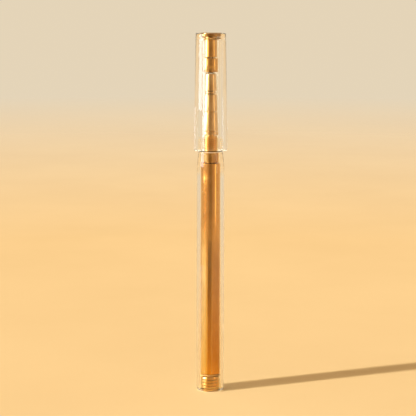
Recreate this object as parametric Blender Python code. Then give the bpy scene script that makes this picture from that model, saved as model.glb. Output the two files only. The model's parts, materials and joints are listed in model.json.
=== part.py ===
"""A capped glass dip pen: clear screw cap and barrel around gold-toned fittings.

Metres, +Z up. The origin is the middle of the barrel's base, and the pen stands on it.
Outlines are lists of (radius, height) in millimetres, turned about the Z axis.
"""

from math import atan2, cos, pi, sin

import bmesh
import bpy
from mathutils import Vector

MM = 0.001
GAP = 0.3            # clearance between touching pieces
SIDES = 32           # sides of the clear shells and the larger rings
FINE_SIDES = 24      # sides of the slim pieces
SHARP_ANGLE = 35     # degrees; edges turning more than this stay sharp in shading
CHAMFER = 0.08       # broken edge on the small turned rings

# Barrel
BARREL_R = 5.37
BARREL_BORE = 4.05
BARREL_MOUTH_R = 4.6
BARREL_TOP = 94.3
SWELL_START = 84.5   # the barrel narrows from here up to its mouth
FOOT_ROUND = 0.9     # rounding of the barrel's bottom edge
MOUTH_BORE = 3.5
MOUTH_DEPTH = 4.0    # length of the narrowed bore that takes the section's collar

# Gold liner inside the barrel
LINER_R = 3.73
LINER_BORE = 3.2
LINER_LOW = 6.9
LINER_TOP = 89.9
LINER_CHAMFER = 0.15

# Threaded end plug in the barrel's base
PLUG_CREST = 3.73
PLUG_ROOT = 3.4
PLUG_LOW = 0.3
PLUG_TOP = 5.9
PLUG_PITCH = 1.25
PLUG_BOSS_R = 2.2
PLUG_BOSS_TOP = 8.4
PLUG_EDGE = 0.3      # lead-in below the plug's thread
PLUG_SEAL_EDGE = 0.1
SLOT_WIDTH = 1.0
SLOT_DEPTH = 0.9

# Section: spindle, neck thread and fittings
SPINDLE_R = 1.3
SPINDLE_TOP = 112.0
TAIL_R = 2.0
TAIL_LOW = 85.2
TAIL_EDGE = 0.3
COLLAR_R = 3.2
COLLAR_LOW = 90.4
COLLAR_TOP = 94.2
COLLAR_EDGE = 0.12
SECTION_SEAL_Z = 87.6
NECK_LOW = 94.6
NECK_TOP = 100.7
NECK_CREST = 2.75
NECK_ROOT = 2.45
NECK_PITCH = 0.8     # from ridge to ridge
NECK_STARTS = 3      # ridges side by side, so one turn lifts the cap three pitches
FLANGE_R = 2.93
FLANGE_EDGE = 0.3
CONE_LOW = 102.5
CONE_LOW_R = 2.84
CONE_TOP = 122.4
CONE_TOP_R = 2.16
NOSE_TOP = 124.3
RING_BORE = 1.65     # bore of the stacked rings around the spindle
REAR_CONE_TOP = 109.75
FRONT_CONE_TOP = 116.5
GROOVE_RING_TOP = 117.6
GROOVE_STEP = 0.3    # how far the groove ring stands inside the taper
NOSE_FACE_R = 1.75   # rim of the ferrule around the nib

# Glass nib
NIB_SHANK_R = 0.9
NIB_LOW = 114.8
NIB_SHOULDER = 124.6  # where the plain shank starts to swell
NIB_BELLY_R = 1.65
NIB_BELLY = 126.6
NIB_TIP = 135.3
NIB_TIP_R = 0.25
FLUTES = 8
FLUTE_DEPTH = 0.16   # share of the radius
FLUTE_TWIST = 0.09   # turns for each millimetre
FLUTE_RUN_IN = 1.5   # length over which the flutes deepen
SLEEVE_BORE = 1.1
SLEEVE_R = 1.4
SLEEVE_LOW = 118.1
SLEEVE_TOP = 123.9

# Cap
CAP_LOW = 94.6
CAP_TOP = 139.7
CAP_LIP_R = 6.5
CAP_TOP_R = 5.78
CAP_BORE = 3.25
CAP_SEAT_R = 4.3     # recess in the cap's top for the finial
CAP_SEAT_LOW = 137.15
CAP_EDGE = 0.35      # rounding of the cap's lip and top
FINIAL_R = 4.0
FINIAL_LOW = 138.4
FINIAL_TOP = 140.0
FINIAL_EDGE = 0.3
FINIAL_DOME = 0.12   # fall of the top face from its middle to its rim
WASHER_R = 4.0
WASHER_BORE = 2.7
WASHER_LOW = 137.45
WASHER_TOP = 137.75
STUD_R = 0.9
STUD_LOW = 136.0
STUD_TOP = 139.0
STUD_HOLE_R = 1.2
STUD_HOLE_TOP = 139.3
GUARD_STEM_R = 2.4
GUARD_STEM_BORE = 1.75
GUARD_STEM_LOW = 130.6
GUARD_STEM_TOP = 138.1
GUARD_STEM_WEB = 136.1  # underside of the web that the stud passes through
GUARD_FOOT = 0.1        # how far the stem's foot stands out
GUARD_FOOT_HEIGHT = 0.3
GUARD_COLLAR_R = 2.75
GUARD_COLLAR_BORE = 2.15
GUARD_COLLAR_LOW = 125.0
GUARD_COLLAR_TOP = 130.3
GUARD_COLLAR_EDGE = 0.35
GUARD_COLLAR_LIP = 0.5
GUARD_LINER_BORE = 1.1
GUARD_LINER_LOW = 133.2
GUARD_LINER_TOP = 135.7


def clear_scene():
    for item in list(bpy.data.objects):
        bpy.data.objects.remove(item, do_unlink=True)


def make_material(name, colour, roughness, metallic=0.0, transmission=0.0):
    material = bpy.data.materials.new(name)
    material.use_nodes = True
    shader = material.node_tree.nodes["Principled BSDF"]
    shader.inputs["Base Color"].default_value = (*colour, 1.0)
    shader.inputs["Roughness"].default_value = roughness
    shader.inputs["Metallic"].default_value = metallic
    shader.inputs["Transmission Weight"].default_value = transmission
    return material


def polished_gold(name):
    return make_material(name, (0.86, 0.60, 0.26), 0.12, metallic=1.0)


def satin_gold(name):
    return make_material(name, (0.72, 0.45, 0.17), 0.38, metallic=1.0)


def clear_glass(name):
    return make_material(name, (0.98, 0.96, 0.92), 0.02, transmission=1.0)


def soft_seal(name, colour):
    return make_material(name, colour, 0.7)


def arc(centre_r, centre_z, radius, start, end, steps):
    """Points of a round stretch, from one angle to another in degrees."""
    points = []
    for i in range(steps + 1):
        angle = (start + (end - start) * i / steps) * pi / 180
        points.append((centre_r + radius * cos(angle), centre_z + radius * sin(angle)))
    return points


def spin_outline(outline, sides):
    """Turn an outline about Z. It is closed, or it starts and ends on the axis."""
    mesh = bmesh.new()
    verts = [mesh.verts.new((r * MM, 0, z * MM)) for r, z in outline]
    solid_core = outline[0][0] == 0 and outline[-1][0] == 0
    pairs = list(zip(verts, verts[1:]))
    if not solid_core:
        pairs.append((verts[-1], verts[0]))
    edges = [mesh.edges.new(pair) for pair in pairs]
    bmesh.ops.spin(mesh, geom=verts + edges, axis=(0, 0, 1), cent=(0, 0, 0),
                   angle=2 * pi, steps=sides, use_merge=True)
    bmesh.ops.remove_doubles(mesh, verts=mesh.verts, dist=1e-6)
    bmesh.ops.recalc_face_normals(mesh, faces=mesh.faces)
    return mesh


def wave(turn):
    """A thread's flank: 0 at the root, 1 at the crest, once for each turn."""
    phase = turn % 1.0
    return 1.0 - abs(2.0 * phase - 1.0)


def thread_rows(low, top, pitch, rows_per_turn=5):
    """Heights of the rings that carry a thread, evenly spaced between its ends."""
    count = round((top - low) / pitch * rows_per_turn)
    return [low + (top - low) * i / count for i in range(count + 1)]


def cut_thread(mesh, low, top, pitch, root, crest, starts=1):
    """Move the rings between low and top onto a right-hand helical thread."""
    middle = (root + crest) / 2
    for vert in mesh.verts:
        height = vert.co.z / MM
        radius = vert.co.xy.length / MM
        if not low < height < top or abs(radius - middle) > 0.01:
            continue
        turn = height / pitch - starts * atan2(vert.co.y, vert.co.x) / (2 * pi)
        fade = min(1.0, (height - low) / pitch, (top - height) / pitch)
        wanted = root + (crest - root) * wave(turn) * fade
        vert.co.xy *= wanted / radius


def place(name, mesh, material, axle):
    """Make the named object from a finished mesh, with its origin on the pen's axis."""
    low = min(vert.co.z for vert in mesh.verts)
    bmesh.ops.translate(mesh, verts=mesh.verts, vec=(0, 0, -low))
    data = bpy.data.meshes.new(name)
    mesh.to_mesh(data)
    mesh.free()
    data.shade_smooth()
    data.set_sharp_from_angle(angle=SHARP_ANGLE * pi / 180)
    data.materials.append(material)
    item = bpy.data.objects.new(name, data)
    bpy.context.scene.collection.objects.link(item)
    item.parent = axle
    item.location = (0, 0, low - axle.location.z)
    return item


def turned(name, outline, material, axle, sides=FINE_SIDES):
    return place(name, spin_outline(outline, sides), material, axle)


def ring(name, inner, outer, low, top, material, axle, edge=0.0, sides=FINE_SIDES):
    """A turned ring with its outer edges broken by a small chamfer."""
    outline = [(inner, top), (outer - edge, top), (outer, top - edge),
               (outer, low + edge), (outer - edge, low), (inner, low)]
    if edge == 0.0:
        outline = [(inner, top), (outer, top), (outer, low), (inner, low)]
    return turned(name, outline, material, axle, sides)


def make_axle(name, height):
    axle = bpy.data.objects.new(name, None)
    axle.location = (0, 0, height * MM)
    bpy.context.scene.collection.objects.link(axle)
    return axle


def barrel_outside():
    """Outer line of the barrel from its mouth down to its foot."""
    steps = 6
    points = []
    for i in range(steps + 1):
        share = 1 - i / steps
        height = SWELL_START + (BARREL_TOP - SWELL_START) * share
        points.append((BARREL_R - (BARREL_R - BARREL_MOUTH_R) * share ** 2, height))
    points += arc(BARREL_R - FOOT_ROUND, FOOT_ROUND, FOOT_ROUND, 0, -90, 4)
    return points


def barrel_shell(axle):
    outline = barrel_outside()
    outline += [
        (BARREL_BORE, 0),
        (BARREL_BORE, BARREL_TOP - MOUTH_DEPTH),
        (MOUTH_BORE, BARREL_TOP - MOUTH_DEPTH),
        (MOUTH_BORE, BARREL_TOP),
    ]
    turned("barrel_shell", outline, clear_glass("barrel_shell"), axle, SIDES)


def liner_tube(axle):
    ring("liner_tube", LINER_BORE, LINER_R, LINER_LOW, LINER_TOP,
         satin_gold("liner_tube"), axle, edge=LINER_CHAMFER, sides=SIDES)


def end_plug(axle):
    """Threaded plug with a boss that centres the liner and a screwdriver slot below."""
    middle = (PLUG_ROOT + PLUG_CREST) / 2
    outline = [(0, PLUG_BOSS_TOP), (PLUG_BOSS_R - PLUG_EDGE, PLUG_BOSS_TOP),
               (PLUG_BOSS_R, PLUG_BOSS_TOP - PLUG_EDGE), (PLUG_BOSS_R, PLUG_TOP)]
    thread_low = PLUG_LOW + PLUG_EDGE
    rows = thread_rows(thread_low, PLUG_TOP, PLUG_PITCH)
    outline += [(middle, height) for height in reversed(rows)]
    outline += [(middle - PLUG_EDGE, PLUG_LOW), (0, PLUG_LOW)]
    mesh = spin_outline(outline, SIDES)
    cut_thread(mesh, thread_low, PLUG_TOP, PLUG_PITCH, PLUG_ROOT, PLUG_CREST)
    plug = place("end_plug", mesh, polished_gold("end_plug"), axle)
    slot = slot_cutter(axle)
    cut = plug.modifiers.new("slot", "BOOLEAN")
    cut.operation = "DIFFERENCE"
    cut.object = slot


def slot_cutter(axle):
    mesh = bmesh.new()
    bmesh.ops.create_cube(mesh, size=1.0)
    size = Vector((PLUG_CREST * 2.4, SLOT_WIDTH, SLOT_DEPTH * 2)) * MM
    bmesh.ops.scale(mesh, vec=size, verts=mesh.verts)
    bmesh.ops.translate(mesh, verts=mesh.verts, vec=(0, 0, PLUG_LOW * MM))
    data = bpy.data.meshes.new("slot_cutter")
    mesh.to_mesh(data)
    mesh.free()
    cutter = bpy.data.objects.new("slot_cutter", data)
    bpy.context.scene.collection.objects.link(cutter)
    cutter.parent = axle
    cutter.location = (0, 0, -axle.location.z)
    cutter.hide_render = True
    cutter.display_type = "WIRE"
    return cutter


def plug_seal_ring(axle):
    ring("plug_seal_ring", PLUG_BOSS_R + GAP, PLUG_CREST, PLUG_TOP + GAP, LINER_LOW - GAP,
         soft_seal("plug_seal_ring", (0.05, 0.035, 0.03)), axle,
         edge=PLUG_SEAL_EDGE, sides=SIDES)


def section_core(axle):
    """Tail, waist inside the collar, cap thread and the spindle for the stacked rings."""
    middle = (NECK_ROOT + NECK_CREST) / 2
    outline = [(0, SPINDLE_TOP), (SPINDLE_R, SPINDLE_TOP), (SPINDLE_R, NECK_TOP)]
    rows = thread_rows(NECK_LOW, NECK_TOP, NECK_PITCH)
    outline += [(middle, height) for height in reversed(rows)]
    outline += [(TAIL_R, NECK_LOW), (TAIL_R, TAIL_LOW + TAIL_EDGE)]
    outline += [(TAIL_R - TAIL_EDGE, TAIL_LOW), (0, TAIL_LOW)]
    mesh = spin_outline(outline, FINE_SIDES)
    cut_thread(mesh, NECK_LOW, NECK_TOP, NECK_PITCH, NECK_ROOT, NECK_CREST, NECK_STARTS)
    place("section_core", mesh, polished_gold("section_core"), axle)


def section_collar(axle):
    ring("section_collar", TAIL_R + GAP, COLLAR_R, COLLAR_LOW, COLLAR_TOP,
         polished_gold("section_collar"), axle, edge=COLLAR_EDGE)


def section_seal_ring(axle):
    centre = (TAIL_R + LINER_BORE) / 2
    radius = (LINER_BORE - TAIL_R) / 2 - GAP
    turned("section_seal_ring", arc(centre, SECTION_SEAL_Z, radius, 0, 330, 11),
           soft_seal("section_seal_ring", (0.05, 0.045, 0.04)), axle)


def flange_ring(axle):
    ring("flange_ring", RING_BORE, FLANGE_R, NECK_TOP + GAP, CONE_LOW - GAP,
         polished_gold("flange_ring"), axle, edge=FLANGE_EDGE)


def cone_radius(height):
    """Radius of the nib holder's long taper."""
    share = (height - CONE_LOW) / (CONE_TOP - CONE_LOW)
    return CONE_LOW_R + (CONE_TOP_R - CONE_LOW_R) * share


def cone_ring(name, low, top, axle, step_in=0.0):
    outline = [
        (RING_BORE, top),
        (cone_radius(top) - step_in - CHAMFER, top),
        (cone_radius(top) - step_in, top - CHAMFER),
        (cone_radius(low) - step_in, low + CHAMFER),
        (cone_radius(low) - step_in - CHAMFER, low),
        (RING_BORE, low),
    ]
    turned(name, outline, polished_gold(name), axle)


def nib_ferrule(axle):
    """Domed nose that holds the nib's shank."""
    low = GROOVE_RING_TOP + GAP
    steps = 5
    outline = []
    for i in range(steps + 1):
        angle = i / steps * pi / 2
        radius = NOSE_FACE_R + (CONE_TOP_R - NOSE_FACE_R) * sin(angle)
        outline.append((radius, CONE_TOP + (NOSE_TOP - CONE_TOP) * cos(angle)))
    outline += [(cone_radius(low), low), (RING_BORE, low), (RING_BORE, NOSE_TOP)]
    turned("nib_ferrule", outline, polished_gold("nib_ferrule"), axle)


def nib_sleeve(axle):
    ring("nib_sleeve", SLEEVE_BORE, SLEEVE_R, SLEEVE_LOW, SLEEVE_TOP,
         soft_seal("nib_sleeve", (0.80, 0.74, 0.66)), axle)


def nib_radius(height):
    """Radius of the nib outside its ferrule: a quick swell, then a long taper."""
    if height < NIB_BELLY:
        share = (height - NIB_SHOULDER) / (NIB_BELLY - NIB_SHOULDER)
        return NIB_SHANK_R + (NIB_BELLY_R - NIB_SHANK_R) * sin(share * pi / 2)
    share = (height - NIB_BELLY) / (NIB_TIP - NIB_BELLY)
    return NIB_TIP_R + (NIB_BELLY_R - NIB_TIP_R) * (1 - share) ** 0.85


def glass_nib(axle):
    """Plain shank below, twisted fluted taper above, drawn to a small ball tip."""
    outline = [(0, NIB_LOW), (NIB_SHANK_R, NIB_LOW), (NIB_SHANK_R, NIB_SHOULDER)]
    rows = 18
    for i in range(1, rows + 1):
        height = NIB_SHOULDER + (NIB_TIP - NIB_SHOULDER) * i / rows
        outline.append((nib_radius(height), height))
    outline.append((0, NIB_TIP + NIB_TIP_R / 2))
    mesh = spin_outline(outline, SIDES)
    for vert in mesh.verts:
        height = vert.co.z / MM
        if height <= NIB_SHOULDER + 0.01 or vert.co.xy.length < 1e-6:
            continue
        angle = atan2(vert.co.y, vert.co.x)
        flute = 0.5 - 0.5 * cos(FLUTES * (angle - 2 * pi * FLUTE_TWIST * height))
        fade = min(1.0, (height - NIB_SHOULDER) / FLUTE_RUN_IN)
        vert.co.xy *= 1 - FLUTE_DEPTH * flute * fade
    place("glass_nib", mesh, clear_glass("glass_nib"), axle)


def cap_shell(axle):
    """Thick clear tube, a little wider at its lip, with a recess for the finial in its top."""
    edge = CAP_EDGE
    outline = [(CAP_BORE, CAP_SEAT_LOW), (CAP_SEAT_R, CAP_SEAT_LOW), (CAP_SEAT_R, CAP_TOP)]
    outline.append((CAP_TOP_R - edge, CAP_TOP))
    outline += arc(CAP_TOP_R - edge, CAP_TOP - edge, edge, 60, 0, 2)
    outline += arc(CAP_LIP_R - edge, CAP_LOW + edge, edge, 0, -90, 3)
    outline.append((CAP_BORE, CAP_LOW))
    turned("cap_shell", outline, clear_glass("cap_shell"), axle, SIDES)


def cap_finial(axle):
    """Gold disc with a gently domed top and a blind hole for its stud."""
    edge = FINIAL_EDGE
    rim = FINIAL_TOP - FINIAL_DOME
    outline = [(0, FINIAL_TOP), (FINIAL_R / 2, FINIAL_TOP - FINIAL_DOME / 4), (FINIAL_R - edge, rim)]
    outline += arc(FINIAL_R - edge, rim - edge, edge, 60, 0, 2)
    outline += [(FINIAL_R, FINIAL_LOW + edge / 2), (FINIAL_R - edge / 2, FINIAL_LOW)]
    outline += [(STUD_HOLE_R, FINIAL_LOW), (STUD_HOLE_R, STUD_HOLE_TOP), (0, STUD_HOLE_TOP)]
    turned("cap_finial", outline, polished_gold("cap_finial"), axle, SIDES)


def finial_washer(axle):
    ring("finial_washer", WASHER_BORE, WASHER_R, WASHER_LOW, WASHER_TOP,
         soft_seal("finial_washer", (0.85, 0.72, 0.50)), axle, sides=SIDES)


def finial_stud(axle):
    outline = [(0, STUD_TOP), (STUD_R, STUD_TOP), (STUD_R, STUD_LOW), (0, STUD_LOW)]
    turned("finial_stud", outline, satin_gold("finial_stud"), axle)


def nib_guard_stem(axle):
    """Slim tube around the nib's point, closed above except for the stud's hole."""
    foot_r = GUARD_STEM_R + GUARD_FOOT
    foot_top = GUARD_STEM_LOW + GUARD_FOOT_HEIGHT
    outline = [
        (STUD_HOLE_R, GUARD_STEM_TOP), (GUARD_STEM_R, GUARD_STEM_TOP),
        (GUARD_STEM_R, foot_top + GUARD_FOOT), (foot_r, foot_top),
        (foot_r, GUARD_STEM_LOW), (GUARD_STEM_BORE, GUARD_STEM_LOW),
        (GUARD_STEM_BORE, GUARD_STEM_WEB), (STUD_HOLE_R, GUARD_STEM_WEB),
    ]
    turned("nib_guard_stem", outline, polished_gold("nib_guard_stem"), axle)


def nib_guard_collar(axle):
    """Wider cup around the nib's root, with a rounded shoulder."""
    edge = GUARD_COLLAR_EDGE
    lip_low = GUARD_COLLAR_TOP - GUARD_COLLAR_LIP
    outline = [(GUARD_STEM_BORE, GUARD_COLLAR_TOP)]
    outline += arc(GUARD_COLLAR_R - edge, GUARD_COLLAR_TOP - edge, edge, 90, 0, 4)
    outline += [(GUARD_COLLAR_R, GUARD_COLLAR_LOW + CHAMFER), (GUARD_COLLAR_R - CHAMFER, GUARD_COLLAR_LOW)]
    outline += [(GUARD_COLLAR_BORE, GUARD_COLLAR_LOW), (GUARD_COLLAR_BORE, lip_low)]
    outline.append((GUARD_STEM_BORE, lip_low))
    turned("nib_guard_collar", outline, polished_gold("nib_guard_collar"), axle)


def nib_guard_liner(axle):
    ring("nib_guard_liner", GUARD_LINER_BORE, GUARD_STEM_BORE - GAP, GUARD_LINER_LOW, GUARD_LINER_TOP,
         soft_seal("nib_guard_liner", (0.75, 0.70, 0.62)), axle)


def build():
    clear_scene()
    barrel = make_axle("barrel_axis", 0)
    barrel_shell(barrel)
    liner_tube(barrel)
    plug = make_axle("plug_axis", PLUG_LOW)
    end_plug(plug)
    plug_seal_ring(plug)
    section = make_axle("section_axis", COLLAR_LOW)
    section_core(section)
    section_collar(section)
    section_seal_ring(section)
    flange_ring(section)
    cone_ring("holder_rear_cone", CONE_LOW, REAR_CONE_TOP, section)
    cone_ring("holder_front_cone", REAR_CONE_TOP + GAP, FRONT_CONE_TOP, section)
    cone_ring("holder_groove_ring", FRONT_CONE_TOP + GAP, GROOVE_RING_TOP, section, step_in=GROOVE_STEP)
    nib_ferrule(section)
    nib_sleeve(section)
    glass_nib(section)
    cap = make_axle("cap_axis", CAP_LOW)
    cap_shell(cap)
    cap_finial(cap)
    finial_washer(cap)
    finial_stud(cap)
    nib_guard_stem(cap)
    nib_guard_collar(cap)
    nib_guard_liner(cap)


build()
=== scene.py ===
"""Looks of the capped glass dip pen: fine turned meshes, clear glass, gold plate, studio."""
import json
from math import atan2, cos, pi, radians, sin, tan

import bmesh
import bpy
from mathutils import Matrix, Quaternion, Vector

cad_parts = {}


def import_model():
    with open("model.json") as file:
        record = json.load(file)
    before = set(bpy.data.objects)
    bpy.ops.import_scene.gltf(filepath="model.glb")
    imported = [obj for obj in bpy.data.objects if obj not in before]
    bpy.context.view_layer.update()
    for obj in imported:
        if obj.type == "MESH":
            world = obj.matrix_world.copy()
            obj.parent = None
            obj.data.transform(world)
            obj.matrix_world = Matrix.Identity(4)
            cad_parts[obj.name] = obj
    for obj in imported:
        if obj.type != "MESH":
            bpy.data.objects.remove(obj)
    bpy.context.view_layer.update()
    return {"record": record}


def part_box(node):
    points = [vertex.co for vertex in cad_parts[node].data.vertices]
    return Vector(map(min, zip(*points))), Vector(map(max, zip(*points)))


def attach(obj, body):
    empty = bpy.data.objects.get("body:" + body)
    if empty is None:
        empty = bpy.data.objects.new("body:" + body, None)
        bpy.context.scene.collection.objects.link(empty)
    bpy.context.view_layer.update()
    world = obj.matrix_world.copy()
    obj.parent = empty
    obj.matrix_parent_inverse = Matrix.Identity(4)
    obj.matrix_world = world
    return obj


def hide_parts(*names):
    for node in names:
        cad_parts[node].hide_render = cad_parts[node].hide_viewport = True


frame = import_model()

MM = 0.001
SIDES = 128                 # facets of every turned piece
AXIS_GAP = 1e-7             # points closer than this are one point
THREAD_REACH = 1e-5         # rings this close to a thread's root are led onto it
NOISE_LOW, NOISE_HIGH = 0.3, 0.7    # the stretch of the noise that is put to use
SHADE = 0.5                 # share of a lamp's light that one glass surface lets through
GLASS_IOR = 1.49

# Studio
CAMERA_DISTANCE = 0.600
CAMERA_HEIGHT = 0.165
AIM_HEIGHT = 0.07225
CAMERA_SIDE = 0.00097
CAMERA_ROLL = radians(0.1)
LENS_MM = 135.5
BACKDROP = (0.78, 0.66, 0.48)


# ---------------------------------------------------------------- shapes

def low(node):
    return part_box(node)[0][2]


def high(node):
    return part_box(node)[1][2]


def radius(node):
    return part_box(node)[1][0]


def softened(corners, closed=True, steps=5):
    """An outline from corners (radius, height, rounding), each corner turned into an arc."""
    points = []
    count = len(corners)
    for i, (r, z, rounding) in enumerate(corners):
        here = Vector((r, z))
        at_end = not closed and i in (0, count - 1)
        if rounding == 0 or at_end:
            points.append(here)
            continue
        before = Vector(corners[i - 1][:2]) - here
        after = Vector(corners[(i + 1) % count][:2]) - here
        angle = before.angle(after)
        reach = min(rounding / tan(angle / 2), before.length / 2, after.length / 2)
        start = here + before.normalized() * reach
        end = here + after.normalized() * reach
        for k in range(steps + 1):
            t = k / steps
            points.append(start * (1 - t) ** 2 + here * 2 * t * (1 - t) + end * t ** 2)
    return points


def spun(outline, closed=True):
    """Turn an outline of (radius, height) about the pen's axis into one closed mesh."""
    mesh = bmesh.new()
    verts = [mesh.verts.new((p[0], 0, p[1])) for p in outline]
    pairs = list(zip(verts, verts[1:]))
    if closed:
        pairs.append((verts[-1], verts[0]))
    edges = [mesh.edges.new(pair) for pair in pairs]
    bmesh.ops.spin(mesh, geom=verts + edges, axis=(0, 0, 1), cent=(0, 0, 0),
                   angle=2 * pi, steps=SIDES, use_merge=True)
    bmesh.ops.remove_doubles(mesh, verts=mesh.verts, dist=AXIS_GAP)
    bmesh.ops.recalc_face_normals(mesh, faces=mesh.faces)
    return mesh


def body_of_node(node):
    for body, nodes in frame["record"]["behaviour"]["bodies"].items():
        if node in nodes:
            return body


def in_scene(name, data):
    item = bpy.data.objects.new(name, data)
    bpy.context.scene.collection.objects.link(item)
    return item


def mesh_data(name, mesh):
    """Turn an edit mesh into a named mesh and let the edit mesh go."""
    data = bpy.data.meshes.new(name)
    mesh.to_mesh(data)
    mesh.free()
    return data


def piece(node, mesh, material, sharp=30):
    """Stand a finished mesh in for the CAD node of the same name."""
    data = mesh_data(node + "_fine", mesh)
    data.shade_smooth()
    data.set_sharp_from_angle(angle=radians(sharp))
    data.materials.append(material)
    item = in_scene(node + "_fine", data)
    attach(item, body_of_node(node))
    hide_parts(node)
    return item


def turned(node, corners, material, closed=True):
    return piece(node, spun(softened(corners, closed), closed), material)


def ring_piece(node, inner, material, edge, outer_low=None, outer_high=None):
    """A turned ring as tall and wide as its CAD node, with soft outer edges."""
    wide_low = radius(node) if outer_low is None else outer_low
    wide_high = radius(node) if outer_high is None else outer_high
    corners = [
        (inner, high(node), edge / 2),
        (wide_high, high(node), edge),
        (wide_low, low(node), edge),
        (inner, low(node), edge / 2),
    ]
    return turned(node, corners, material)


# ---------------------------------------------------------------- threads

def ridge(turn, fullness):
    """Thread form: 0 at the root, 1 at the crest. Fuller forms have wider crests."""
    return 1 - (0.5 + 0.5 * cos(2 * pi * turn)) ** fullness


def helix(mesh, bottom, top, pitch, from_r, to_r, starts=1, fullness=1):
    """Lead the rings that lie on from_r between two heights onto a right-hand thread."""
    for vert in mesh.verts:
        height = vert.co.z
        reach = vert.co.xy.length
        if not bottom <= height <= top or abs(reach - from_r) > THREAD_REACH:
            continue
        turn = height / pitch - starts * atan2(vert.co.y, vert.co.x) / (2 * pi)
        fade = min(1.0, (height - bottom) / pitch, (top - height) / pitch)
        wanted = from_r + (to_r - from_r) * ridge(turn, fullness) * fade
        vert.co.xy *= wanted / reach


def rows(bottom, top, pitch):
    """Heights of the rings that carry a thread, twelve to a turn."""
    count = round((top - bottom) / pitch * 12)
    return [bottom + (top - bottom) * i / count for i in range(count + 1)]


# ---------------------------------------------------------------- materials

def new_material(name):
    material = bpy.data.materials.new(name)
    material.use_nodes = True
    tree = material.node_tree
    return material, tree, tree.nodes["Principled BSDF"]


def own_place(tree):
    """Where a point lies in its object's own space."""
    return tree.nodes.new("ShaderNodeTexCoord").outputs["Object"]


def along(tree, place, axis):
    """One coordinate of a place."""
    split = tree.nodes.new("ShaderNodeSeparateXYZ")
    tree.links.new(place, split.inputs["Vector"])
    return split.outputs[axis]


def far_out(tree, place):
    """How far a point lies from its object's origin."""
    length = tree.nodes.new("ShaderNodeVectorMath")
    length.operation = "LENGTH"
    tree.links.new(place, length.inputs[0])
    return length.outputs["Value"]


def arithmetic(tree, operation, *values):
    """One arithmetic step. Each value is a number or another node's output."""
    node = tree.nodes.new("ShaderNodeMath")
    node.operation = operation
    for socket, value in zip(node.inputs, values):
        if isinstance(value, float):
            socket.default_value = value
        else:
            tree.links.new(value, socket)
    return node.outputs["Value"]


def ranged(tree, value, start, end, lowest=0.0, highest=1.0):
    """Bring a value from the range it has into the range that is wanted."""
    node = tree.nodes.new("ShaderNodeMapRange")
    node.inputs["From Min"].default_value = start
    node.inputs["From Max"].default_value = end
    node.inputs["To Min"].default_value = lowest
    node.inputs["To Max"].default_value = highest
    tree.links.new(value, node.inputs["Value"])
    return node


def blend(tree, share, first, second):
    """The first surface where share is 0, and the second where it is 1."""
    mix = tree.nodes.new("ShaderNodeMixShader")
    tree.links.new(share, mix.inputs["Fac"])
    tree.links.new(first, mix.inputs[1])
    tree.links.new(second, mix.inputs[2])
    return mix.outputs["Shader"]


def finish_with(tree, surface):
    tree.links.new(surface, tree.nodes["Material Output"].inputs["Surface"])


def noise_on(tree, stretch, scale, detail=4.0, roughness=0.55):
    """Noise in the object's own space, stretched along each axis."""
    mapping = tree.nodes.new("ShaderNodeMapping")
    mapping.inputs["Scale"].default_value = stretch
    noise = tree.nodes.new("ShaderNodeTexNoise")
    noise.inputs["Scale"].default_value = scale
    noise.inputs["Detail"].default_value = detail
    noise.inputs["Roughness"].default_value = roughness
    tree.links.new(own_place(tree), mapping.inputs["Vector"])
    tree.links.new(mapping.outputs["Vector"], noise.inputs["Vector"])
    return noise.outputs["Fac"]


def spread(tree, value, lowest, highest):
    """Bring noise into the range that a roughness needs."""
    return ranged(tree, value, NOISE_LOW, NOISE_HIGH, lowest, highest).outputs["Result"]


def tint(tree, value, dark, light):
    """Colour that runs from dark to light with the noise."""
    ramp = tree.nodes.new("ShaderNodeValToRGB")
    ramp.color_ramp.elements[0].position = NOISE_LOW
    ramp.color_ramp.elements[0].color = (*dark, 1)
    ramp.color_ramp.elements[1].position = NOISE_HIGH
    ramp.color_ramp.elements[1].color = (*light, 1)
    tree.links.new(value, ramp.inputs["Fac"])
    return ramp.outputs["Color"]


def bump(tree, shader, value, strength, distance):
    """Fine relief from the noise."""
    node = tree.nodes.new("ShaderNodeBump")
    node.inputs["Strength"].default_value = strength
    node.inputs["Distance"].default_value = distance
    tree.links.new(value, node.inputs["Height"])
    tree.links.new(node.outputs["Normal"], shader.inputs["Normal"])


def plated(name, dark, light, smoothest, roughest):
    """Plate on turned brass: soft wear clouds and faint lathe lines."""
    material, tree, shader = new_material(name)
    shader.inputs["Metallic"].default_value = 1.0
    clouds = noise_on(tree, (1, 1, 1), 260)
    lathe = noise_on(tree, (1, 1, 40), 160, detail=2.0)
    tree.links.new(tint(tree, clouds, dark, light), shader.inputs["Base Color"])
    tree.links.new(spread(tree, clouds, smoothest, roughest), shader.inputs["Roughness"])
    bump(tree, shader, lathe, 0.05, 0.00005)
    return material


def satin_gold():
    """Softly brushed gold tube: streaks along the pen and mottled tone."""
    material, tree, shader = new_material("satin_gold_look")
    shader.inputs["Metallic"].default_value = 1.0
    streaks = noise_on(tree, (1, 1, 0.06), 900, detail=6.0, roughness=0.7)
    mottle = noise_on(tree, (1, 1, 0.5), 420, detail=5.0, roughness=0.6)
    colour = tint(tree, mottle, (0.74, 0.42, 0.12), (0.86, 0.53, 0.18))
    tree.links.new(colour, shader.inputs["Base Color"])
    tree.links.new(spread(tree, streaks, 0.06, 0.13), shader.inputs["Roughness"])
    bump(tree, shader, mottle, 0.25, 0.00008)
    return material


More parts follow.
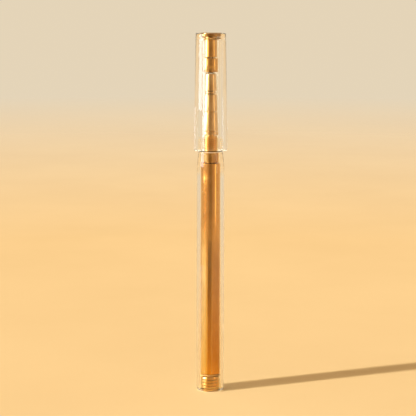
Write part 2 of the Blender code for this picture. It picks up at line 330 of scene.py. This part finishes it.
def clear_glass(name, colour, ripple, ground_above=0.0, ground_below=0.0):
    """Polished clear glass with faint drawn lines, and a ground ring between two heights.

    Lamps shine through it without bending, so what it holds is lit cleanly.
    """
    material, tree, shader = new_material(name)
    shader.inputs["Base Color"].default_value = (*colour, 1)
    shader.inputs["Transmission Weight"].default_value = 1.0
    shader.inputs["IOR"].default_value = GLASS_IOR
    wipes = noise_on(tree, (1, 1, 0.3), 180, detail=3.0)
    polish = spread(tree, wipes, 0.0, 0.015)
    if ground_below:
        ground = between(tree, ground_above, ground_below)
        polish = swap(tree, ground, polish, 0.5)
        tree.links.new(swap(tree, ground, 1.0, 0.3), shader.inputs["Transmission Weight"])
    tree.links.new(polish, shader.inputs["Roughness"])
    drawn = noise_on(tree, (1, 1, 0.01), 420, detail=2.0)
    bump(tree, shader, drawn, ripple, 0.0001)
    path = tree.nodes.new("ShaderNodeLightPath")
    through = tree.nodes.new("ShaderNodeBsdfTransparent")
    through.inputs["Color"].default_value = (*[c * SHADE for c in colour], 1)
    shadow_ray = path.outputs["Is Shadow Ray"]
    surface = blend(tree, shadow_ray, shader.outputs["BSDF"], through.outputs["BSDF"])
    finish_with(tree, surface)
    return material


def between(tree, above, below):
    """1 where the object's own height lies between two heights, and 0 elsewhere."""
    height = along(tree, own_place(tree), "Z")
    return arithmetic(tree, "COMPARE", height, (above + below) / 2, (below - above) / 2)


def swap(tree, share, outside, inside):
    """A value that changes to another where share is 1."""
    mix = tree.nodes.new("ShaderNodeMix")
    tree.links.new(share, mix.inputs["Factor"])
    if isinstance(outside, float):
        mix.inputs["A"].default_value = outside
    else:
        tree.links.new(outside, mix.inputs["A"])
    mix.inputs["B"].default_value = inside
    return mix.outputs["Result"]


def seal(name, dark, light, roughness):
    """Moulded rubber or silicone with a fine matte grain."""
    material, tree, shader = new_material(name)
    grain = noise_on(tree, (1, 1, 1), 1500, detail=5.0)
    tree.links.new(tint(tree, grain, dark, light), shader.inputs["Base Color"])
    grade = spread(tree, grain, roughness - 0.1, roughness + 0.1)
    tree.links.new(grade, shader.inputs["Roughness"])
    bump(tree, shader, grain, 0.2, 0.00005)
    return material


# ---------------------------------------------------------------- barrel and plug

BARREL_BORE = 4.05 * MM
BARREL_MOUTH_R = 4.6 * MM
MOUTH_BORE = 3.5 * MM
SWELL_LENGTH = 9.8 * MM
PLUG_PITCH = 1.25 * MM


def barrel_shell(glass):
    """Clear tube with a rounded foot and a narrowed mouth."""
    node = "barrel_shell"
    full_r, top = radius(node), high(node)
    foot, edge = 0.9 * MM, 0.15 * MM
    swell_steps, foot_steps = 24, 8
    outline = []
    for i in range(swell_steps + 1):
        share = 1 - i / swell_steps
        height = top - SWELL_LENGTH * (1 - share)
        outline.append((full_r - (full_r - BARREL_MOUTH_R) * share ** 2, height))
    for i in range(1, foot_steps + 1):
        angle = i / foot_steps * pi / 2
        outline.append((full_r - foot + foot * cos(angle), foot - foot * sin(angle)))
    narrow_low = high("liner_tube") - 2.5 * MM
    outline += [(BARREL_BORE + edge, 0), (BARREL_BORE, edge), (BARREL_BORE, narrow_low)]
    outline += [(MOUTH_BORE, top - edge), (MOUTH_BORE + edge, top)]
    piece(node, spun(outline), glass)


def liner_tube(gold):
    ring_piece("liner_tube", 3.2 * MM, gold, 0.15 * MM)


def end_plug(gold):
    """Threaded plug with a boss above and a screwdriver slot below."""
    node = "end_plug"
    crest = radius(node)
    root = crest - 0.33 * MM
    boss_r = 2.2 * MM
    bottom, boss_top = low(node), high(node)
    top = low("plug_seal_ring") - 0.3 * MM
    thread_low, thread_top = bottom + 0.4 * MM, top - 0.1 * MM
    edge, boss_edge = 0.15 * MM, 0.25 * MM
    outline = [(0, boss_top), (boss_r - boss_edge, boss_top), (boss_r, boss_top - boss_edge)]
    outline += [(boss_r, top), (crest - edge, top)]
    outline += [(root, z) for z in reversed(rows(thread_low, thread_top, PLUG_PITCH))]
    outline += [(root - edge, bottom), (0, bottom)]
    mesh = spun(outline, closed=False)
    helix(mesh, thread_low, thread_top, PLUG_PITCH, root, crest, fullness=3)
    plug = piece(node, mesh, gold)
    cutter = slot_cutter(bottom, crest)
    cut = plug.modifiers.new("slot", "BOOLEAN")
    cut.operation = "DIFFERENCE"
    cut.object = cutter
    bake_modifiers(plug)
    bpy.data.objects.remove(cutter, do_unlink=True)


def slot_cutter(bottom, reach):
    """Bar that cuts the slot across the plug's end. It is thrown away after the cut."""
    length, width, height = reach * 2.4, 1.0 * MM, 1.8 * MM
    mesh = bmesh.new()
    bmesh.ops.create_cube(mesh, size=1.0)
    bmesh.ops.scale(mesh, vec=(length, width, height), verts=mesh.verts)
    bmesh.ops.translate(mesh, verts=mesh.verts, vec=(0, 0, bottom))
    return in_scene("slot_cutter", mesh_data("slot_cutter", mesh))


def bake_modifiers(item):
    """Keep an object's evaluated shape as its own mesh."""
    graph = bpy.context.evaluated_depsgraph_get()
    shape = bpy.data.meshes.new_from_object(item.evaluated_get(graph))
    item.modifiers.clear()
    item.data = shape


def plug_seal_ring(rubber):
    ring_piece("plug_seal_ring", 2.5 * MM, rubber, 0.15 * MM)


# ---------------------------------------------------------------- section and nib

NECK_PITCH = 0.8 * MM
NECK_STARTS = 3
RING_BORE = 1.65 * MM


def section_core(gold):
    """Spindle that carries the cones, threaded neck for the cap, and tail inside the liner."""
    node = "section_core"
    spindle_r, tail_r = 1.3 * MM, 2.0 * MM
    crest = radius(node)
    root = crest - 0.28 * MM
    bottom, top = low(node), high(node)
    neck_low = low("cap_shell")
    neck_top = low("flange_ring") - 0.3 * MM
    thread_top = neck_top - 0.1 * MM
    spindle_edge, tail_edge = 0.2 * MM, 0.3 * MM
    outline = [(0, top), (spindle_r - spindle_edge, top), (spindle_r, top - spindle_edge)]
    outline += [(spindle_r, neck_top), (root - 0.1 * MM, neck_top)]
    outline += [(root, z) for z in reversed(rows(neck_low, thread_top, NECK_PITCH))]
    outline += [(tail_r, neck_low), (tail_r, bottom + tail_edge)]
    outline += [(tail_r - tail_edge, bottom), (0, bottom)]
    mesh = spun(outline, closed=False)
    helix(mesh, neck_low, thread_top, NECK_PITCH, root, crest, NECK_STARTS, fullness=3)
    piece(node, mesh, gold)


def section_collar(gold):
    ring_piece("section_collar", 2.3 * MM, gold, 0.12 * MM)


def section_seal_ring(rubber):
    """Round ring on the section's tail."""
    node = "section_seal_ring"
    sides = 20
    middle_z = (low(node) + high(node)) / 2
    small_r = (high(node) - low(node)) / 2
    middle_r = radius(node) - small_r
    outline = []
    for i in range(sides):
        angle = -2 * pi * i / sides
        outline.append((middle_r + small_r * cos(angle), middle_z + small_r * sin(angle)))
    piece(node, spun(outline), rubber)


def flange_ring(gold):
    ring_piece("flange_ring", RING_BORE, gold, 0.1 * MM)


def holder_cones(gold):
    """The long taper in two lengths and the groove ring above them."""
    taper_low = (low("holder_rear_cone"), radius("holder_rear_cone"))
    taper_high = (low("nib_ferrule"), radius("nib_ferrule"))
    slope = (taper_high[1] - taper_low[1]) / (taper_high[0] - taper_low[0])

    def taper(height):
        return taper_low[1] + slope * (height - taper_low[0])

    for node in ("holder_rear_cone", "holder_front_cone"):
        ring_piece(node, RING_BORE, gold, 0.08 * MM, taper(low(node)), taper(high(node)))
    ring_piece("holder_groove_ring", RING_BORE, gold, 0.1 * MM)


def nib_ferrule(gold):
    """Domed nose whose crown closes in on the nib's shank."""
    node = "nib_ferrule"
    bottom, top = low(node), high(node)
    dome_low = top - 1.9 * MM
    dome_r = 2.16 * MM
    face_r = RING_BORE + 0.1 * MM
    foot_r, edge = radius(node), 0.08 * MM
    dome_steps = 12
    outline = [(RING_BORE, top)]
    for i in range(dome_steps + 1):
        angle = i / dome_steps * pi / 2
        dome_point_r = face_r + (dome_r - face_r) * sin(angle)
        outline.append((dome_point_r, dome_low + (top - dome_low) * cos(angle)))
    outline += [(foot_r, bottom + edge), (foot_r - edge, bottom), (RING_BORE, bottom)]
    piece(node, spun(outline), gold, sharp=40)


def nib_sleeve(silicone):
    ring_piece("nib_sleeve", 1.1 * MM, silicone, 0.1 * MM)


FLUTES = 8
FLUTE_DEPTH = 0.16          # share of the nib's radius
FLUTE_TWIST = 0.09 / MM     # turns for each metre of height


def glass_nib(glass):
    """Plain shank, swelling belly and twisted flutes drawn to a small round point."""
    node = "glass_nib"
    shank_r = 0.9 * MM
    tip_r = 0.25 * MM
    belly_r = 1.62 * MM
    bottom, top = low(node), high(node)
    shoulder = high("nib_ferrule") + 0.3 * MM
    belly = shoulder + 2.0 * MM
    tip = top - tip_r
    edge, fullness = 0.15 * MM, 0.85
    body_steps, tip_steps = 70, 6
    outline = [(0, bottom), (shank_r - edge, bottom), (shank_r, bottom + edge), (shank_r, shoulder)]
    for i in range(1, body_steps + 1):
        height = shoulder + (tip - shoulder) * i / body_steps
        if height < belly:
            share = (height - shoulder) / (belly - shoulder)
            wide = shank_r + (belly_r - shank_r) * sin(share * pi / 2)
        else:
            share = 1 - (height - belly) / (tip - belly)
            wide = tip_r + (belly_r - tip_r) * share ** fullness
        outline.append((wide, height))
    for i in range(1, tip_steps):
        angle = i / tip_steps * pi / 2
        outline.append((tip_r * cos(angle), tip + tip_r * sin(angle)))
    outline.append((0, top))
    mesh = spun(outline, closed=False)
    fade_in, fade_out = 1.5 * MM, 0.6 * MM
    for vert in mesh.verts:
        height = vert.co.z
        if not shoulder < height < tip:
            continue
        angle = atan2(vert.co.y, vert.co.x) - 2 * pi * FLUTE_TWIST * height
        flute = abs(cos(FLUTES / 2 * angle))
        fade = min(1.0, (height - shoulder) / fade_in, (tip - height) / fade_out)
        vert.co.xy *= 1 - FLUTE_DEPTH * (1 - flute) * fade
    piece(node, mesh, glass, sharp=50)


# ---------------------------------------------------------------- cap

CAP_BORE = 3.25 * MM
LIP_ROUND = 0.35 * MM


def cap_shell(glass):
    """Thick clear tube, wider at its lip, threaded inside its mouth and recessed for the finial."""
    node = "cap_shell"
    bottom, top = low(node), high(node)
    lip_r, top_r = radius(node), 5.78 * MM
    seat_r, seat_low = 4.3 * MM, low("finial_washer") - 0.3 * MM
    mouth_edge = 0.25 * MM
    thread_low, thread_top = bottom + mouth_edge, low("flange_ring") - 0.7 * MM
    corners = [
        (seat_r, seat_low, 0.05 * MM), (seat_r, top, 0.12 * MM), (top_r, top, 0.4 * MM),
        (lip_r, bottom, LIP_ROUND), (CAP_BORE + mouth_edge, bottom, 0.1 * MM),
    ]
    outline = softened(corners)
    outline += [(CAP_BORE, z) for z in rows(thread_low, thread_top, NECK_PITCH)]
    outline.append((CAP_BORE, seat_low))
    mesh = spun(outline)
    groove_r = CAP_BORE + 0.05 * MM
    helix(mesh, thread_low, thread_top, NECK_PITCH, CAP_BORE, groove_r, NECK_STARTS)
    piece(node, mesh, glass)


def cap_finial(gold):
    """Disc with a thin crowned plate on top, a fine groove below it and the stud's blind hole."""
    node = "cap_finial"
    bottom, top, wide = low(node), high(node), radius(node)
    hole_r, hole_top = 1.2 * MM, bottom + 0.9 * MM
    plate_low = top - 0.62 * MM
    groove_r, seat_r = wide - 0.22 * MM, wide - 0.05 * MM
    corners = [
        (0, top, 0), (wide * 0.6, top - 0.03 * MM, 0.6 * MM),
        (wide - 0.1 * MM, top - 0.12 * MM, 0.2 * MM), (wide, top - 0.3 * MM, 0.15 * MM),
        (wide, plate_low + 0.05 * MM, 0.08 * MM), (groove_r, plate_low, 0.05 * MM),
        (groove_r, plate_low - 0.1 * MM, 0.05 * MM), (seat_r, plate_low - 0.2 * MM, 0.08 * MM),
        (seat_r, bottom, 0.15 * MM),
        (hole_r, bottom, 0.05 * MM), (hole_r, hole_top, 0.05 * MM), (0, hole_top, 0),
    ]
    turned(node, corners, gold, closed=False)


def finial_washer(rubber):
    ring_piece("finial_washer", 2.7 * MM, rubber, 0.06 * MM)


def finial_stud(gold):
    """Pin that joins the finial to the nib's guard."""
    node = "finial_stud"
    bottom, top, wide, edge = low(node), high(node), radius(node), 0.12 * MM
    corners = [(0, top, 0), (wide, top, edge), (wide, bottom, edge), (0, bottom, 0)]
    turned(node, corners, gold, closed=False)


def nib_guard_stem(gold):
    """Hollow stem with a fine groove near its top and a small foot, pierced for the stud."""
    node = "nib_guard_stem"
    bottom, top = low(node), high(node)
    foot_r = radius(node)
    stem_r, bore, hole_r = 2.4 * MM, 1.75 * MM, 1.2 * MM
    web = low("finial_stud") + 0.1 * MM
    groove, groove_depth = top - 0.8 * MM, 0.12 * MM
    corners = [
        (hole_r, top, 0.05 * MM), (stem_r, top, 0.1 * MM),
        (stem_r, groove + groove_depth, 0.05 * MM), (stem_r - groove_depth, groove, 0.05 * MM),
        (stem_r, groove - groove_depth, 0.05 * MM), (stem_r, bottom + 0.45 * MM, 0.1 * MM),
        (foot_r, bottom + 0.3 * MM, 0.1 * MM), (foot_r, bottom, 0.08 * MM),
        (bore, bottom, 0.05 * MM), (bore, web, 0.1 * MM), (hole_r, web, 0.05 * MM),
    ]
    turned(node, corners, gold)


def nib_guard_collar(gold):
    """Wider collar with a rounded shoulder, open below."""
    node = "nib_guard_collar"
    bottom, top, wide = low(node), high(node), radius(node)
    bore, mouth = 1.75 * MM, 2.15 * MM
    lip = 0.5 * MM
    corners = [
        (bore, top, 0.05 * MM), (wide, top, 0.4 * MM), (wide, bottom, 0.12 * MM),
        (mouth, bottom, 0.05 * MM), (mouth, top - lip, 0.1 * MM), (bore, top - lip, 0.05 * MM),
    ]
    turned(node, corners, gold)


def nib_guard_liner(silicone):
    ring_piece("nib_guard_liner", 1.1 * MM, silicone, 0.12 * MM)


SHELL_GLASS = (1.0, 0.97, 0.91)
SHELL_RIPPLE = 0.025


def build_pen():
    gold = plated("polished_gold_look", (0.70, 0.45, 0.17), (0.80, 0.54, 0.22), 0.08, 0.15)
    # Darker copy of the gold plate, used on the finial: painted shade for the dark surroundings
    # that it reflects.
    shaded_gold = plated("shaded_gold_look", (0.40, 0.235, 0.07), (0.50, 0.31, 0.10), 0.08, 0.14)
    pale_gold = plated("pale_gold_look", (0.76, 0.56, 0.32), (0.86, 0.66, 0.40), 0.17, 0.24)
    satin = satin_gold()
    rim, lip = high("barrel_shell"), low("cap_shell")
    glass = clear_glass("clear_shell_look", SHELL_GLASS, SHELL_RIPPLE,
                        rim - 0.06 * MM, rim + 1 * MM)
    cap_glass = clear_glass("cap_glass_look", SHELL_GLASS, SHELL_RIPPLE,
                            lip - 1 * MM, lip + 0.08 * MM)
    nib_clear = clear_glass("nib_glass_look", (0.97, 0.985, 1.0), 0.08)
    rubber = seal("amber_seal_look", (0.46, 0.24, 0.07), (0.60, 0.34, 0.11), 0.4)
    silicone = seal("pale_seal_look", (0.72, 0.62, 0.48), (0.86, 0.78, 0.66), 0.5)
    barrel_shell(glass)
    liner_tube(satin)
    end_plug(gold)
    plug_seal_ring(rubber)
    section_core(gold)
    section_collar(gold)
    section_seal_ring(rubber)
    flange_ring(pale_gold)
    holder_cones(pale_gold)
    nib_ferrule(pale_gold)
    nib_sleeve(silicone)
    glass_nib(nib_clear)
    cap_shell(cap_glass)
    cap_finial(shaded_gold)
    finial_washer(rubber)
    finial_stud(satin)
    nib_guard_stem(gold)
    nib_guard_collar(gold)
    nib_guard_liner(silicone)


# ---------------------------------------------------------------- studio

SENSOR_MM = 36
FLOOR_RADIUS = 1.6
FLOOR_FADE = (0.35, 1.4)    # distances between which the floor gives way to the surround
# Glowing cards of painted reflection and painted shade, laid just above the floor
CARDS_INNER, CARDS_OUTER = 0.007, 0.8
CARDS_LIFT = 0.0002
CARDS_SPAN = 0.6            # distance of each card's last colour
COOL_WHITE = (0.82, 0.89, 1.0)
PALE_GOLD = (1.0, 0.85, 0.5)
WARM = (1.0, 0.85, 0.6)
WARM_WHITE = (1.0, 0.90, 0.74)


def camera():
    data = bpy.data.cameras.new("camera")
    data.lens = LENS_MM
    data.sensor_width = SENSOR_MM
    data.clip_start = 0.01
    item = in_scene("camera", data)
    item.location = (-CAMERA_SIDE, -CAMERA_DISTANCE, CAMERA_HEIGHT)
    aim = Vector((-CAMERA_SIDE, 0, AIM_HEIGHT)) - item.location
    roll = Quaternion((0, 0, 1), CAMERA_ROLL)
    item.rotation_euler = (aim.to_track_quat("-Z", "Y") @ roll).to_euler()
    bpy.context.scene.camera = item


def world():
    """Pale warm surround that darkens behind the camera, so that metal keeps its contrast."""
    scene = bpy.context.scene
    scene.world = bpy.data.worlds.new("studio")
    scene.world.use_nodes = True
    tree = scene.world.node_tree
    back = tree.nodes["Background"]
    where = tree.nodes.new("ShaderNodeTexCoord")
    share = ranged(tree, along(tree, where.outputs["Generated"], "Y"), -1.0, 1.0)
    ramp = tree.nodes.new("ShaderNodeValToRGB")
    stops = ramp.color_ramp.elements
    stops[0].position, stops[0].color = 0.004, (0.30, 0.19, 0.09, 1)
    stops[1].position, stops[1].color = 0.90, (*BACKDROP, 1)
    for position, colour in (
        (0.04, (0.52, 0.33, 0.17)), (0.20, (0.80, 0.53, 0.30)),
        (0.50, (0.74, 0.52, 0.34)), (0.75, (0.86, 0.68, 0.46)),
    ):
        stops.new(position).color = (*colour, 1)
    tree.links.new(share.outputs["Result"], ramp.inputs["Fac"])
    tree.links.new(ramp.outputs["Color"], back.inputs["Color"])


def floor():
    """Round matte floor that fades into the surround."""
    mesh = bmesh.new()
    bmesh.ops.create_circle(mesh, cap_ends=True, segments=96, radius=FLOOR_RADIUS)
    item = in_scene("floor", mesh_data("floor", mesh))
    material, tree, shader = new_material("floor_look")
    shader.inputs["Roughness"].default_value = 0.8
    shader.inputs["Specular IOR Level"].default_value = 0.0
    cloud = noise_on(tree, (1, 1, 1), 6)
    colour = tint(tree, cloud, (0.60, 0.47, 0.27), (0.64, 0.51, 0.30))
    tree.links.new(colour, shader.inputs["Base Color"])
    fade = ranged(tree, far_out(tree, own_place(tree)), *FLOOR_FADE).outputs["Result"]
    clear = tree.nodes.new("ShaderNodeBsdfTransparent").outputs["BSDF"]
    finish_with(tree, blend(tree, fade, shader.outputs["BSDF"], clear))
    item.data.materials.append(material)


def around(azimuth, distance, height):
    """A place around the pen: azimuth in degrees from the camera's side, positive to the right."""
    return (distance * sin(radians(azimuth)), -distance * cos(radians(azimuth)), height)


def hang(name, data, place, aim):
    """Put a lamp at a place and point it at another."""
    item = in_scene(name, data)
    item.location = place
    item.rotation_euler = (Vector(aim) - Vector(place)).to_track_quat("-Z", "Y").to_euler()
    return item


def panel(name, place, aim, width, height, radiance, colour):
    """A glowing rectangle of the given brightness, seen only in reflections and through glass."""
    data = bpy.data.lights.new(name, "AREA")
    data.shape = "RECTANGLE"
    data.size = width
    data.size_y = height
    data.energy = 4 * radiance * width * height
    data.color = colour
    item = hang(name, data, place, aim)
    item.visible_camera = False
    item.visible_diffuse = False


def sun(name, place, aim, strength, spread_angle, colour):
    """The key light, which alone throws the pen's shadow."""
    data = bpy.data.lights.new(name, "SUN")
    data.energy = strength
    data.angle = spread_angle
    data.color = colour
    hang(name, data, place, aim)


def lights():
    softbox_z, strip_z = 0.245, 0.24
    panel("left_softbox", around(-80, 0.34, softbox_z), (0, 0, softbox_z),
          width=0.20, height=0.33, radiance=6.0, colour=COOL_WHITE)
    panel("left_fill", around(-48, 0.45, softbox_z), (0, 0, softbox_z),
          width=0.17, height=0.33, radiance=1.15, colour=PALE_GOLD)
    panel("right_strip", around(56, 0.55, strip_z), (0, 0, strip_z),
          width=0.11, height=0.40, radiance=0.8, colour=WARM)
    sun("low_key", around(-67, 1.2, 0.38), (0, 0, 0),
        strength=8.5, spread_angle=radians(2.2), colour=WARM_WHITE)


def wedge(tree, angle, centre, half_width, softness):
    """1 inside a sector around the pen and 0 outside it, with soft edges. Degrees."""
    away = arithmetic(tree, "ABSOLUTE", arithmetic(tree, "SUBTRACT", angle, radians(centre)))
    edge = ranged(tree, away, radians(half_width + softness), radians(half_width - softness))
    edge.interpolation_type = "SMOOTHSTEP"
    return edge.outputs["Result"]


def painted_reflection_cards():
    """Glowing cards laid on the table and seen only through the glass: painted reflections in the
    metal, painted light to the left and right of the pen and painted shade in front of it.
    """
    sides = 96
    mesh = bmesh.new()
    rings = []
    for ring_r in (CARDS_INNER, CARDS_OUTER):
        angles = [2 * pi * i / sides for i in range(sides)]
        rings.append([mesh.verts.new((ring_r * sin(a), -ring_r * cos(a), 0)) for a in angles])
    for i in range(sides):
        j = (i + 1) % sides
        mesh.faces.new((rings[0][i], rings[1][i], rings[1][j], rings[0][j]))
    item = in_scene("painted_reflection_cards", mesh_data("painted_reflection_cards", mesh))
    item.location.z = CARDS_LIFT
    item.visible_camera = False
    item.visible_diffuse = False
    item.visible_glossy = False
    item.visible_shadow = False
    material, tree, shader = new_material("painted_reflection_cards_look")
    place = own_place(tree)
    front = arithmetic(tree, "MULTIPLY", along(tree, place, "Y"), -1.0)
    turn = arithmetic(tree, "ARCTAN2", along(tree, place, "X"), front)
    away = far_out(tree, place)
    surface = tree.nodes.new("ShaderNodeBsdfTransparent").outputs["BSDF"]
    # Colours of each glowing card, from beside the pen outwards: painted light of a lit floor to
    # the right, painted shade in front, dim and bright painted light to the left
    right = ((0.97, 0.47, 0.03), (0.62, 0.28, 0.02), (0.60, 0.35, 0.16), (0.54, 0.35, 0.25))
    dark = ((0.97, 0.47, 0.02), (0.65, 0.30, 0.01), (0.34, 0.19, 0.05), (0.20, 0.125, 0.045))
    dim = ((1.10, 0.70, 0.10), (1.00, 0.64, 0.12), (0.95, 0.70, 0.30), (0.90, 0.67, 0.42))
    bright = ((1.30, 0.95, 0.35), (1.15, 0.96, 0.44), (1.12, 1.10, 0.92), (1.25, 1.25, 1.25))
    for colours, centre, half_width, softness in (
        (right, 66, 48, 8), (dark, -8, 23, 6), (dim, -42, 12, 1.5), (bright, -82, 31, 3),
    ):
        share = wedge(tree, turn, centre, half_width, softness)
        surface = painted_reflection_layer(tree, surface, share, away, colours)
    finish_with(tree, surface)
    tree.nodes.remove(shader)
    item.data.materials.append(material)


def painted_reflection_layer(tree, below, share, away, colours):
    """Lay a glowing card of painted reflection over the others. Its colours are for four distances
    from the pen.
    """
    span = ranged(tree, away, 0.0, CARDS_SPAN)
    ramp = tree.nodes.new("ShaderNodeValToRGB")
    stops = ramp.color_ramp.elements
    stops[0].position, stops[1].position = 0.03, 1.0
    stops.new(0.12)
    stops.new(0.47)
    for stop, colour in zip(stops, colours):
        stop.color = (*colour, 1)
    glow = tree.nodes.new("ShaderNodeEmission")
    tree.links.new(span.outputs["Result"], ramp.inputs["Fac"])
    tree.links.new(ramp.outputs["Color"], glow.inputs["Color"])
    return blend(tree, share, below, glow.outputs["Emission"])


def studio():
    world()
    floor()
    painted_reflection_cards()
    lights()
    bpy.context.scene.view_settings.view_transform = "Standard"


camera()
build_pen()
studio()
